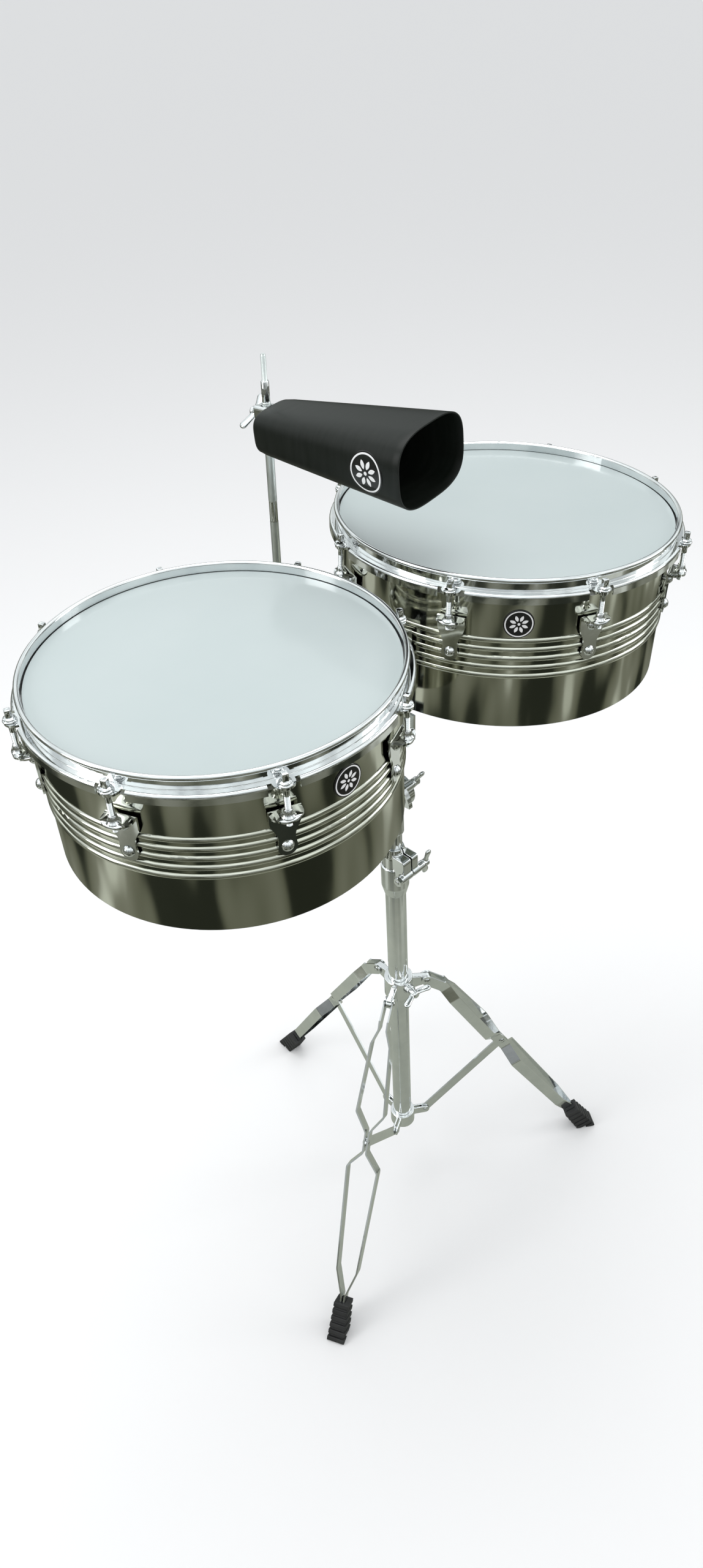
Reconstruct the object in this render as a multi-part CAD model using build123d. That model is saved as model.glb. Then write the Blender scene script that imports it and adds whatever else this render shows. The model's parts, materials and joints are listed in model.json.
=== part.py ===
from build123d import *
import os
from math import atan2, cos, degrees, hypot, pi, radians, sin

# A timbale set: two steel-shell drums with tuning lugs, a tilting head, a double-braced tripod stand,
# and a cowbell on a knurled post. Millimetres and degrees, +Z up, floor at Z = 0.
# +X runs from the 13 inch drum to the 14 inch drum, and the player stands on the -Y side.

# ---- placement of the stand's axis, so that the whole set is centred on the origin
POLE_X = 1.65
POLE_Y = -57.9

# ---- fits
RUN = 0.05            # radial clearance of a turning or sliding fit
GAP = 0.3             # clearance between pieces that move past each other

# ---- drums: shell radius, lip-to-edge depth, lip centre in the head's frame, outward sag, direction of the
# mounting box, depth of its wing bolt, and the badge's azimuth and depth
DRUMS = {
    "drum13": {
        "radius": 165.1, "depth": 172.7, "centre": (-211.7, 13.2, 279.9), "sag": -0.6,
        "bracket_turn": 0, "bolt_depth": 136.0, "badge_at": -91.0, "badge_depth": 50.5,
    },
    "drum14": {
        "radius": 177.8, "depth": 170.1, "centre": (196.4, 13.2, 279.2), "sag": 2.4,
        "bracket_turn": 180, "bolt_depth": 118.0, "badge_at": -136.5, "badge_depth": 50.0,
    },
}
LUGS = 8
LUG_START = 22.5      # azimuth of the first lug
SHELL_WALL = 1.2
BEAD_DEPTHS = [69.3 + 10.1 * i for i in range(5)]   # bead heights below the hoop's lip
BEAD_RISE = 2.0
BEAD_RADIUS = 3.4
EDGE_ROLL = 1.5
HEAD_DROP = 9.5       # playing surface below the hoop's lip
FILM = 0.5
COLLAR_DROP = 11.0    # height of the film's collar, which turns down over the bearing edge
FLESH_TOP = 16.7
FLESH_HEIGHT = 5.8
HOOP_SHEET = 2.2
HOOP_SHOULDER = 14.5  # top of the hoop's flat shoulder below its lip
HOOP_BOTTOM = 24.0
HOOP_LIP_RADIUS = 2.5
EAR_REACH = 19.5      # hoop ear's end beyond the shell
EAR_WIDTH = 19.0
EAR_WINDOW = 27.0     # width of the gap in the hoop's skirt at each lug
ROD_CIRCLE = 14.0     # tension rod's distance from the shell
ROD_RADIUS = 2.75
ROD_END = 56.0
TAB_TOP = 45.3        # lug tab below the hoop's lip
LUG_SHEET = 2.2
LUG_STANDOFF = BEAD_RISE + 0.1
LUG_REACH = 20.0
LUG_WIDTH = 28.0
LUG_WAIST = 16.0
LUG_BOTTOM = 96.0
LUG_BOLT_DEPTHS = (57.0, 86.0)
LUG_BOLT_RADIUS = 2.5
NUT_STANDOFF = 0.15   # a flat nut on the curved wall touches at its corners
BOX_NUT_STANDOFF = 1.7
BADGE_RADIUS = 15.3
BADGE_THICK = 1.2

# ---- drum mounting box and the prong inside it
BOX_WIDTH = 60.0
BOX_TOP = 72.0
BOX_BOTTOM = 150.0
BOX_SHEET = 2.4
BOX_REACH = 13.0
PRONG_THICK = 3.0
PRONG_WIDTH = 30.0

# ---- tilting head
TILT_Z = 700.0        # height of the tilt axis
HEAD_TILT = 1.2       # tilt towards the player at rest
CHEEK_RADIUS = 20.0
CHEEK_LEFT, CHEEK_RIGHT = -20.0, 16.0
PLATE_LEFT, PLATE_RIGHT = -10.0, -4.4
TILT_PIN = 8.0
TILT_BOLT_RING = 26.0
TILT_BOLT_AZIMUTH = 136.5
TILT_TRAVEL = 20.0
TILT_BOSS_END = 11.0
SLEEVE_RADIUS = 11.9
SLEEVE_BOTTOM = -54.0
BASE_TOP, BASE_SHEET = 80.0, 4.0
BASE_LEFT, BASE_RIGHT = -42.0, 18.0
BASE_HALF = 31.0
WALL_TOP = 108.0
HEAD_Y = 13.2         # line of the drum centres in the head's frame

# ---- cowbell post, an L-shaped rod held under the head's base
ROD_POST = 4.75
POST_SMOOTH = 4.2
POST_TIP = 2.8
POST_LEAN = 1.0
POST_X, POST_Y, POST_Z = 17.2, 191.0, 62.0
POST_TAIL = 22.0
POST_BEND = 25.0
KNURL_TOP = 332.0     # heights above the horizontal leg
SMOOTH_TOP = 353.5
TIP_TOP = 379.5
BAND_LOW, BAND_HIGH = 203.5, 226.5
CLAMP_Y0, CLAMP_Y1 = 46.0, 66.0

# ---- cowbell
BELL_LENGTH = 195.0
BELL_MOUTH = (90.0, 58.0, 8.5, 11.0)   # width and height at the corners, bow of the sides, corner radius
BELL_END = (57.0, 38.0, 2.5, 9.0)
BELL_WALL = 1.6
BELL_YAW, BELL_PITCH, BELL_ROLL = -82.8, 2.0, 3.7
BELL_CLAMP_HEIGHT = 320.0
BELL_STANDOFF = 14.8
CLAMP_BACK = 10.0     # back of the clamp behind the post's axis
LINER = 6.0           # outer radius of the nylon liner that the clamp turns on
BELL_SHIFT = -10.5    # bell's centre line beside the clamp's stud, and below it
BELL_DROP = -6.0
BELL_BADGE_RADIUS = 20.5
BELL_BADGE_FROM_END = 155.0
BELL_TAB = (26.0, 3.0)   # width and thickness of the tab on the closed end, which the stud passes through

# ---- stand
LOWER_TUBE, UPPER_TUBE = 12.7, 9.525
TUBE_WALL = 1.2
LOWER_TUBE_BOTTOM, LOWER_TUBE_TOP = 91.0, 583.0
BUSHING_LENGTH = 45.0
UPPER_TUBE_BOTTOM = 293.0
CLAMP_RADIUS = 16.8
CLAMP_BOLT = (-24.0, 593.0)
CLAMP_BOSS = (-17.0, 22.5)
HUB_BOTTOM, HUB_TOP = 369.0, 400.0
HUB_RADIUS = 18.5
HUB_BOLT_AZIMUTH = 264.7
HUB_BOLT_Z = 390.0
HUB_BOSS_END = 25.0
LEG_AZIMUTHS = {"front": 204.7, "left": 84.7, "right": 324.7}
HUB_PIVOT = (37.0, 386.0)     # radius and height of each leg's top pivot
LEG_BEND = (59.0, 369.0)
BRACE_PIVOT = (143.5, 233.5)
FOOT_POINT = (284.0, 0.0)
COLLAR_PIVOT = (33.0, 107.5)
STRIP_WIDTH, STRIP_THICK = 15.0, 2.0
BRACE_WIDTH, BRACE_THICK = 13.0, 2.0
RIVET = 2.5
FOOT_WIDTH, FOOT_DEPTH = 20.5, 22.0
FOOT_START = 48.0     # the foot's top, before the leg's line meets the floor
STRIP_END = 27.0
FOOT_RIBS = 5


# ---- fasteners
WING_WIDTH, WING_THICK = 9.5, 3.6
BOLT = 3.0            # radius of every wing bolt's shaft
NUT_ACROSS, NUT_HEIGHT = 10.0, 4.5
SHELL_NUT_ACROSS, SHELL_NUT_HEIGHT = 8.0, 4.0

STAND = Pos(POLE_X, POLE_Y, 0)
HEAD = STAND * Pos(0, 0, TILT_Z) * Rot(HEAD_TILT, 0, 0)
POST = HEAD * Pos(POST_X, 0, POST_Z) * Rot(0, POST_LEAN, 0)


# ---------------------------------------------------------------- helpers
def rod(radius, length, where=Location()):
    """A cylinder that stands on its frame's origin, along +Z."""
    return where * Cylinder(radius, length, align=(Align.CENTER, Align.CENTER, Align.MIN))


def cone(low_radius, top_radius, height):
    """A cone that stands on the XY plane."""
    return Cone(low_radius, top_radius, height, align=(Align.CENTER, Align.CENTER, Align.MIN))


def block(x0, x1, y0, y1, z0, z1):
    """A box between two corners."""
    size = (x1 - x0, y1 - y0, z1 - z0)
    return Pos((x0 + x1) / 2, (y0 + y1) / 2, (z0 + z1) / 2) * Box(*size)


def tube(outer, inner, z0, z1):
    """A tube about Z."""
    return rod(outer, z1 - z0, Pos(0, 0, z0)) - rod(inner, z1 - z0 + 2, Pos(0, 0, z0 - 1))


def along_x(x0=0.0, y=0.0, z=0.0):
    """A frame whose +Z points along +X."""
    return Pos(x0, y, z) * Rot(0, 90, 0)


def dome(radius, height):
    """A low round head that stands on the XY plane."""
    ball = (radius * radius + height * height) / (2 * height)
    return Pos(0, 0, height - ball) * Sphere(ball) & rod(radius + 1, height + 1)


def hexagon(across, height, bore=0.0):
    """A hexagonal nut or head that stands on the XY plane."""
    shape = extrude(RegularPolygon(across / 2, 6, major_radius=False), height)
    return shape - rod(bore, height + 2, Pos(0, 0, -1)) if bore else shape


def wings(hub_radius, hub_height, reach, rise, lift):
    """A wing head on the XY plane: a tapered hub, and two rounded lobes in the XZ plane above lift."""
    shape = cone(hub_radius, hub_radius * 0.8, hub_height)
    lean = degrees(atan2(rise, reach))
    for side in (1, -1):
        lobe = extrude(SlotOverall(hypot(reach, rise) + 5, WING_WIDTH), WING_THICK / 2, both=True)
        middle = Pos(side * reach / 2, 0, hub_height * 0.45 + rise / 2)
        lobe = middle * Rot(0, -side * lean, 0) * Rot(90, 0, 0) * lobe
        shape += lobe & block(-40, 40, -20, 20, lift, 60)
    return shape


def wing_bolt(shaft, length, hub_radius=5.3, hub_height=7.0, reach=13.0, rise=8.0, lift=0.0):
    """A wing bolt whose hub rests on the XY plane and whose shaft points along -Z."""
    return wings(hub_radius, hub_height, reach, rise, lift) + rod(shaft, length + 0.5, Pos(0, 0, -length))


def badge(radius):
    """A thin round plate with an eased edge."""
    return fillet(rod(radius, BADGE_THICK).edges().sort_by(Axis.Z)[-1], 0.4)


PARTS = {}


def keep(node, where, pieces):
    """Records a node as one or more separate solids in the object's frame."""
    pieces = pieces if isinstance(pieces, list) else [pieces]
    solids = [where * s for p in pieces for s in p.solids()]
    PARTS[node] = solids[0] if len(solids) == 1 else Compound(children=solids)


# ---------------------------------------------------------------- drums, in a frame at the lip's centre
def shell(radius, depth, bracket_turn, mount_holes):
    inner = radius - SHELL_WALL
    edge = HEAD_DROP + FILM
    section = Plane.XZ * Pos((inner + radius) / 2, -(depth + edge) / 2) * Rectangle(SHELL_WALL, depth - edge)
    for d in BEAD_DEPTHS:
        section += Plane.XZ * Pos(radius + BEAD_RISE - BEAD_RADIUS, -d) * Circle(BEAD_RADIUS)
    for d in BEAD_DEPTHS:
        section -= Plane.XZ * Pos(radius + BEAD_RISE - BEAD_RADIUS, -d) * Circle(BEAD_RADIUS - SHELL_WALL)
    section -= Plane.XZ * Pos(inner - 10, -depth / 2) * Rectangle(20, depth * 2)
    section += Plane.XZ * Pos(radius - EDGE_ROLL, -depth + EDGE_ROLL) * Circle(EDGE_ROLL)
    section += Plane.XZ * Pos(radius - EDGE_ROLL, -edge - EDGE_ROLL) * Circle(EDGE_ROLL)
    body = revolve(section, Axis.Z)
    for i in range(LUGS):
        turn = Rot(0, 0, LUG_START + i * 360 / LUGS)
        for d in LUG_BOLT_DEPTHS:
            body -= turn * rod(LUG_BOLT_RADIUS + RUN, 30, along_x(radius - 20, 0, -d))
    for y, d in mount_holes:
        body -= Rot(0, 0, bracket_turn) * rod(LUG_BOLT_RADIUS + RUN, 30, along_x(radius - 20, y, -d))
    return body


def head_film(radius):
    """The flat part of the plastic film."""
    return rod(radius + 0.65, FILM, Pos(0, 0, -HEAD_DROP - FILM))


def head_ring(radius):
    """The film's collar, turned down over the bearing edge, and the ring that holds it under the hoop."""
    under = -HEAD_DROP - FILM
    collar = tube(radius + 0.65, radius + 0.15, under - COLLAR_DROP, under)
    return collar + tube(radius + 6.4, radius + 0.6, -FLESH_TOP - FLESH_HEIGHT, -FLESH_TOP)


def counterhoop(radius):
    wall_x = radius + 1.7 + HOOP_SHEET / 2
    skirt_x = radius + 11.8 - HOOP_SHEET / 2
    mid = -HOOP_SHOULDER - HOOP_SHEET / 2
    corners = [(wall_x, -2.0), (wall_x, mid), (skirt_x, mid), (skirt_x, -HOOP_BOTTOM)]
    profile = FilletPolyline(*corners, radius=1.9)
    section = Plane.XZ * trace(profile, HOOP_SHEET)
    section += Plane.XZ * Pos(radius + 4.2, -HOOP_LIP_RADIUS) * Circle(HOOP_LIP_RADIUS)
    body = revolve(section, Axis.Z)
    skirt_cut = tube(radius + 30, radius + 8.6, -HOOP_BOTTOM - 1, -HOOP_SHOULDER + 1)
    for i in range(LUGS):
        turn = Rot(0, 0, LUG_START + i * 360 / LUGS)
        body -= turn * (skirt_cut & block(radius, radius + 40, -EAR_WINDOW / 2, EAR_WINDOW / 2, -40, 0))
        end = radius + EAR_REACH - EAR_WIDTH / 2
        half = EAR_WIDTH / 2
        ear = rod(half, HOOP_SHEET, Pos(end, 0, mid - HOOP_SHEET / 2))
        ear &= block(radius + 5, radius + 40, -half, half, -40, 0)
        ear += block(radius + 5, end, -half, half, mid - HOOP_SHEET / 2, mid + HOOP_SHEET / 2)
        ear -= rod(ROD_RADIUS + 0.4, 10, Pos(radius + ROD_CIRCLE, 0, -HOOP_SHOULDER - 6))
        body += turn * ear
    return body


def at_each_lug(make):
    """One separate solid at every lug."""
    return [Rot(0, 0, LUG_START + i * 360 / LUGS) * make for i in range(LUGS)]


def tension_rod(radius):
    """A rod with a square drive head and a collar, screwed down through the lug's tab."""
    x = radius + ROD_CIRCLE
    drive = extrude(Pos(x, 0) * RectangleRounded(6.4, 6.4, 1.0), 8.0)
    top = -HOOP_SHOULDER + 2.0
    body = Pos(0, 0, top + 2.2) * drive + rod(5.2, 2.2, Pos(x, 0, top))
    return body + rod(ROD_RADIUS, ROD_END + top, Pos(x, 0, -ROD_END))


def rod_washer(radius):
    return Pos(radius + ROD_CIRCLE, 0, 0) * tube(6.6, ROD_RADIUS + RUN, -HOOP_SHOULDER, -HOOP_SHOULDER + 2.0)


def lug_bracket(radius):
    """A bent sheet-steel bracket: a rounded tab for the rod, over a waisted plate that bolts to the shell."""
    x0 = radius + LUG_STANDOFF
    half = LUG_WIDTH / 2
    tab_mid = -TAB_TOP - LUG_SHEET
    end = radius + LUG_REACH - half
    tab = rod(half, LUG_SHEET, Pos(end, 0, tab_mid)) & block(x0, radius + 40, -half, half, -80, 0)
    tab += block(x0, max(end, x0 + 0.5), -half, half, tab_mid, -TAB_TOP)
    waist = LUG_WAIST / 2
    right = [(half, -TAB_TOP), (half, -TAB_TOP - 16), (waist, -TAB_TOP - 27), (waist, -LUG_BOTTOM + waist)]
    left = [(-y, z) for y, z in reversed(right)]
    face = make_face(Polyline(*right, *left, close=True)) + Pos(0, -LUG_BOTTOM + waist) * Circle(waist)
    plate = Plane(origin=(x0, 0, 0), x_dir=(0, 1, 0), z_dir=(1, 0, 0)) * extrude(face, LUG_SHEET)
    boss = Pos(radius + ROD_CIRCLE, 0, -TAB_TOP) * cone(5.0, 3.9, 7.0)
    body = tab + plate + boss
    body -= rod(ROD_RADIUS + RUN, 40, Pos(radius + ROD_CIRCLE, 0, -TAB_TOP - 20))
    for d in LUG_BOLT_DEPTHS:
        body -= rod(LUG_BOLT_RADIUS + RUN, 20, along_x(x0 - 5, 0, -d))
    return body


def shell_nut(x, y, depth):
    """A nut on the inside of the shell, with its outer face at x."""
    nut = hexagon(SHELL_NUT_ACROSS, SHELL_NUT_HEIGHT, LUG_BOLT_RADIUS + RUN)
    return along_x(x - SHELL_NUT_HEIGHT, y, -depth) * nut


def through_bolt(face_x, nut_x, depth, y=0.0):
    """A dome-head bolt along -X through the shell, and its nut on the inside."""
    length = face_x - nut_x + 6.0
    bolt = along_x(face_x, y, -depth) * dome(5.6, 4.0)
    bolt += rod(LUG_BOLT_RADIUS, length, along_x(face_x - length, y, -depth))
    return [bolt, shell_nut(nut_x, y, depth)]


def box_bolts(radius):
    """The places of the bolts that hold the mounting box to the shell."""
    return [(y, d) for y in (-17.0, 17.0) for d in (BOX_TOP + 12, BOX_BOTTOM - 10)]


def mounting_box(radius, bolt_depth):
    """A steel box on the shell that slips over a prong, closed at the top."""
    x0, x1 = radius + LUG_STANDOFF, radius + BOX_REACH
    half = BOX_WIDTH / 2
    inside = half - BOX_SHEET
    body = block(x0, x1, -half, half, -BOX_BOTTOM, -BOX_TOP)
    body -= block(x0 + BOX_SHEET, x1 - BOX_SHEET, -inside, inside, -BOX_BOTTOM - 1, -BOX_TOP - BOX_SHEET)
    for y, d in box_bolts(radius):
        body -= rod(LUG_BOLT_RADIUS + RUN, 10, along_x(x0 - 5, y, -d))
        body -= rod(5.2, 6, along_x(x1 - BOX_SHEET - 1, y, -d))
    body += rod(6.0, 3.0, along_x(x1 - 0.5, 0, -bolt_depth))
    return body - rod(BOLT + RUN, 20, along_x(x1 - 10, 0, -bolt_depth))


def box_bolt(radius, y, depth):
    """A flat-head bolt inside the mounting box, with its nut inside the shell."""
    x0 = radius + LUG_STANDOFF + BOX_SHEET
    nut_x = radius - SHELL_WALL - BOX_NUT_STANDOFF
    bolt = rod(4.2, 0.9, along_x(x0, y, -depth))
    bolt += rod(LUG_BOLT_RADIUS, x0 - nut_x + 5.5, along_x(nut_x - 5.0, y, -depth))
    return [bolt, shell_nut(nut_x, y, depth)]


def prong_x(radius):
    """Middle of the space inside a mounting box."""
    return radius + (LUG_STANDOFF + BOX_REACH) / 2


def drum_frame(drum):
    return HEAD * Pos(*drum["centre"]) * Rot(0, drum["sag"], 0)


def build_drum(name, drum):
    radius, depth, turn = drum["radius"], drum["depth"], drum["bracket_turn"]
    where = drum_frame(drum)
    keep(name + "_shell", where, shell(radius, depth, turn, box_bolts(radius)))
    keep(name + "_head_film", where, head_film(radius))
    keep(name + "_head_ring", where, head_ring(radius))
    keep(name + "_counterhoop", where, counterhoop(radius))
    keep(name + "_tension_rods", where, at_each_lug(tension_rod(radius)))
    keep(name + "_rod_washers", where, at_each_lug(rod_washer(radius)))
    keep(name + "_lug_brackets", where, at_each_lug(lug_bracket(radius)))
    face_x, nut_x = radius + LUG_STANDOFF + LUG_SHEET, radius - SHELL_WALL - NUT_STANDOFF
    fasteners = [s for d in LUG_BOLT_DEPTHS for b in through_bolt(face_x, nut_x, d) for s in at_each_lug(b)]
    keep(name + "_lug_bolts", where, fasteners)
    on_shell = Rot(0, 0, drum["badge_at"]) * along_x(radius + 0.02, 0, -drum["badge_depth"])
    keep(name + "_badge", where * on_shell, badge(BADGE_RADIUS))
    facing = where * Rot(0, 0, turn)
    bolt_depth = drum["bolt_depth"]
    keep(name + "_mounting_box", facing, mounting_box(radius, bolt_depth))
    keep(name + "_box_bolts", facing, [s for y, d in box_bolts(radius) for s in box_bolt(radius, y, d)])
    x = radius + BOX_REACH + 2.5
    tip = prong_x(radius) + PRONG_THICK / 2 + 0.1
    wing = wing_bolt(BOLT, x - tip, hub_radius=4.6, hub_height=4.0, reach=9.0, rise=3.0)
    keep(name + "_mount_bolt", facing * along_x(x, 0, -bolt_depth), wing)


# ---------------------------------------------------------------- tilting head
def tilter_body():
    """The lower half of the tilter: a sleeve on the mast, and a fork whose cheeks hold the head's plate."""
    body = rod(CHEEK_RADIUS, CHEEK_RIGHT - CHEEK_LEFT, along_x(CHEEK_LEFT))
    body += rod(SLEEVE_RADIUS, -SLEEVE_BOTTOM, Pos(0, 0, SLEEVE_BOTTOM))
    az = radians(TILT_BOLT_AZIMUTH)
    y, z = TILT_BOLT_RING * cos(az), TILT_BOLT_RING * sin(az)
    body += rod(7.5, PLATE_LEFT - RUN - CHEEK_LEFT, along_x(CHEEK_LEFT, y, z))
    body += rod(5.3, TILT_BOSS_END - PLATE_RIGHT - RUN, along_x(PLATE_RIGHT + RUN, y, z))
    body += block(PLATE_RIGHT + RUN, TILT_BOSS_END, y + 2, -8, 8, z + 2) - rod(60, 40, along_x(CHEEK_RIGHT))
    low, high = PLATE_LEFT - RUN, PLATE_RIGHT + RUN
    body -= rod(17.5, high - low, along_x(low)) + block(low, high, -50, 50, -10, 50)
    body -= rod(TILT_PIN, 60, along_x(-30))
    body -= rod(UPPER_TUBE + RUN, 32, Pos(0, 0, SLEEVE_BOTTOM - 0.5))
    return body - rod(BOLT + RUN, 80, along_x(-40, y, z))


def tilt_pin():
    """The shaft the head turns on, a little proud of the fork's cheeks."""
    pin = rod(TILT_PIN, CHEEK_RIGHT - CHEEK_LEFT + 2.0, along_x(CHEEK_LEFT - 1.0))
    return chamfer(pin.edges().filter_by(GeomType.CIRCLE), 0.6)


def tilt_lock():
    """The wing bolt across the fork, and its nut on the left cheek."""
    az = radians(TILT_BOLT_AZIMUTH)
    y, z = TILT_BOLT_RING * cos(az), TILT_BOLT_RING * sin(az)
    length = TILT_BOSS_END - CHEEK_LEFT + 5.5
    wing = wing_bolt(BOLT, length, hub_height=9.0, lift=CHEEK_RIGHT - TILT_BOSS_END + GAP)
    bolt = along_x(TILT_BOSS_END, y, z) * Rot(0, 0, 35) * wing
    nut = along_x(CHEEK_LEFT - NUT_HEIGHT, y, z) * hexagon(NUT_ACROSS, NUT_HEIGHT, BOLT + RUN)
    return bolt, nut


def wedge(azimuth, spread):
    """A face from the origin out through points at these angles about an azimuth."""
    outer = [(70 * cos(radians(azimuth + a)), 70 * sin(radians(azimuth + a))) for a in spread]
    return make_face(Polyline((0, 0), *outer, close=True))


def head_plate():
    """The head's tilt plate: a disc on the pin, a sector with a curved slot, and an arm up to the base."""
    thick = PLATE_RIGHT - PLATE_LEFT
    az = TILT_BOLT_AZIMUTH
    top = BASE_TOP - BASE_SHEET
    plate = Circle(17.0) + make_face(Polyline((-4, 0), (16, 0), (28, top), (-2, top), close=True))
    reach = TILT_TRAVEL + 8.5
    ring = Circle(TILT_BOLT_RING + 8.5) - Circle(TILT_BOLT_RING - 14.0)
    plate += ring & wedge(az, (-38, 0, reach + 10))
    plate -= (Circle(TILT_BOLT_RING + 3.4) - Circle(TILT_BOLT_RING - 3.4)) & wedge(az, (-reach, 0, reach))
    body = Plane(origin=(PLATE_LEFT, 0, 0), x_dir=(0, 1, 0), z_dir=(1, 0, 0)) * extrude(plate, thick)
    return body - rod(TILT_PIN + RUN, 20, along_x(PLATE_LEFT - 5))


def cross_bracket():
    """The head's base with two upturned walls, a prong for each drum, and a tongue for the post's clamp."""
    y0, y1 = HEAD_Y - BASE_HALF, HEAD_Y + BASE_HALF
    low = BASE_TOP - BASE_SHEET
    body = block(BASE_LEFT, BASE_RIGHT, y0, y1, low, BASE_TOP)
    body += block(BASE_RIGHT - 3, BASE_RIGHT, y0, y1, low, WALL_TOP)
    body += block(BASE_LEFT, BASE_LEFT + 3, y0, y1, low, WALL_TOP - 14)
    for name, drum in DRUMS.items():
        x = prong_x(drum["radius"])
        top, foot = -BOX_TOP - BOX_SHEET - 0.05, -(drum["centre"][2] - BASE_TOP + 1.5)
        prong = block(x - PRONG_THICK / 2, x + PRONG_THICK / 2, -PRONG_WIDTH / 2, PRONG_WIDTH / 2, foot, top)
        local = Pos(*drum["centre"]) * Rot(0, drum["sag"], 0) * Rot(0, 0, drum["bracket_turn"])
        body += local * prong
    body += block(POST_X - 11, POST_X + 11, y1 - 1, CLAMP_Y1, low, BASE_TOP)
    return body


def post_clamp():
    """The block under the tongue that grips the post's horizontal leg."""
    top = BASE_TOP - BASE_SHEET
    body = block(POST_X - 11, POST_X + 11, CLAMP_Y0, CLAMP_Y1, POST_Z - 11, top)
    middle = (CLAMP_Y0 + CLAMP_Y1) / 2
    body -= Pos(POST_X, 0, POST_Z) * Rot(-90, 0, 0) * rod(ROD_POST + RUN, 200)
    return body - rod(BOLT + RUN, 30, along_x(POST_X, middle, POST_Z))


def build_head():
    keep("tilter_body", STAND * Pos(0, 0, TILT_Z), tilter_body())
    keep("tilt_pin", STAND * Pos(0, 0, TILT_Z), tilt_pin())
    bolt, nut = tilt_lock()
    keep("tilt_wing_bolt", STAND * Pos(0, 0, TILT_Z), bolt)
    keep("tilt_nut", STAND * Pos(0, 0, TILT_Z), nut)
    keep("tilt_plate", HEAD, head_plate())
    keep("cross_bracket", HEAD, cross_bracket())
    keep("post_clamp", HEAD, post_clamp())
    middle = (CLAMP_Y0 + CLAMP_Y1) / 2
    wing = wing_bolt(BOLT, 11 - ROD_POST - 0.1, hub_radius=5.0, hub_height=5.0, reach=10.0, rise=6.0)
    keep("post_wing_bolt", HEAD * along_x(POST_X + 11, middle, POST_Z), Rot(0, 0, 90) * wing)


# ---------------------------------------------------------------- cowbell and its post
def cowbell_post():
    """An L-shaped rod: a horizontal leg along Y, a bend, and an upright with a smooth top and a thin tip."""
    path = FilletPolyline((0, POST_TAIL, 0), (0, POST_Y, 0), (0, POST_Y, KNURL_TOP), radius=POST_BEND)
    body = sweep(Plane(origin=(0, POST_TAIL, 0), z_dir=(0, 1, 0)) * Circle(ROD_POST), path)
    body -= Pos(0, POST_Y, 0) * tube(ROD_POST + 1, ROD_POST - 0.3, BAND_LOW, BAND_HIGH)
    body += rod(POST_SMOOTH, SMOOTH_TOP - KNURL_TOP, Pos(0, POST_Y, KNURL_TOP))
    return body + rod(POST_TIP, TIP_TOP - SMOOTH_TOP, Pos(0, POST_Y, SMOOTH_TOP))


def bell_frame():
    """At the clamp's centre on the post: +Z runs along the bell to its mouth, +Y is the bell's top."""
    yaw, pitch = radians(BELL_YAW), radians(BELL_PITCH)
    along = Vector(cos(yaw) * cos(pitch), sin(yaw) * cos(pitch), sin(pitch))
    side = Vector(-sin(yaw), cos(yaw), 0)
    return POST * Location(Plane(origin=(0, POST_Y, BELL_CLAMP_HEIGHT), x_dir=side, z_dir=along))


def bell_section(shape, z, shrink=0.0):
    """A cross-section with bowed sides and rounded corners."""
    w, h = shape[0] / 2 - shrink, shape[1] / 2 - shrink
    bow, corner = shape[2], shape[3] - shrink
    top = ThreePointArc((w, h), (0, h + bow), (-w, h))
    bottom = ThreePointArc((-w, -h), (0, -h - bow), (w, -h))
    right = ThreePointArc((w, -h), (w + bow, 0), (w, h))
    left = ThreePointArc((-w, h), (-w - bow, 0), (-w, -h))
    face = make_face(top + left + bottom + right)
    return Pos(0, 0, z) * fillet(face.vertices(), corner)


def cowbell():
    """A folded steel bell, open at the mouth, with a flat closed end."""
    outer = loft([bell_section(BELL_END, 0), bell_section(BELL_MOUTH, BELL_LENGTH)])
    mouth = bell_section(BELL_MOUTH, BELL_LENGTH + 0.01, BELL_WALL)
    hollow = loft([bell_section(BELL_END, BELL_WALL, BELL_WALL), mouth])
    width, thick = BELL_TAB
    tab = block(-width / 2, width / 2, -8, 12, -thick, 0)
    tab = fillet(tab.edges().filter_by(Axis.Z), 6.0)
    return Rot(0, 0, BELL_ROLL) * (outer - hollow) + Pos(-BELL_SHIFT, -BELL_DROP, 0) * tab


def bell_offset():
    """The bell's own frame beside the clamp's stud."""
    return Pos(BELL_SHIFT, BELL_DROP, BELL_STANDOFF)


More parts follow.
